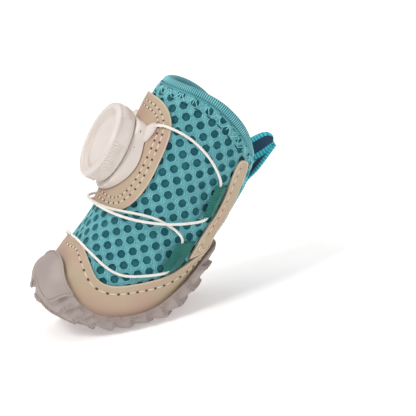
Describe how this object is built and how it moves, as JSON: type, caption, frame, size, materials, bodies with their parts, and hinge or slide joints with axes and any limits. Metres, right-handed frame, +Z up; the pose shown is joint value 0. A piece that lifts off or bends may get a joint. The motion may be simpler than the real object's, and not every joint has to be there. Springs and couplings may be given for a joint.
{
  "type": "dog boot",
  "caption": "Short boot for a dog's paw: rockered rubber cup sole with a waved tread, hollow mesh upper with overlays, lace dial on the front and a pull loop behind the collar.",
  "frame": {"origin": "middle of the flat strip under the sole that lies nearest its middle, on the ground plane", "axes": "+Z up, -Y towards the toe, +X towards the boot's left side"},
  "size_m": [0.051, 0.1019, 0.0859],
  "materials": {
    "outsole_rubber": "matte moulded rubber",
    "air_mesh": "open warp-knit mesh",
    "insole_foam": "matte foam",
    "overlay_leather": "matte grained synthetic leather",
    "elastic_binding": "ribbed elastic",
    "loop_tape": "woven tape",
    "guide_webbing": "woven webbing",
    "dial_plastic": "satin moulded plastic",
    "lace_cord": "smooth coated cord"
  },
  "bodies": {
    "root": {"outsole": "outsole_rubber", "insole": "insole_foam", "upper": "air_mesh", "toe_rand": "overlay_leather", "front_patch": "overlay_leather", "collar_binding": "elastic_binding", "pull_loop": "loop_tape", "dial_base": "dial_plastic", "dial_knob": "dial_plastic", "back_stay_left": "overlay_leather", "back_stay_right": "overlay_leather", "upper_guide_left": "guide_webbing", "upper_guide_right": "guide_webbing", "lower_guide_left": "guide_webbing", "lower_guide_right": "guide_webbing", "lace_left": "lace_cord", "lace_right": "lace_cord"}
  },
  "joints": []
}
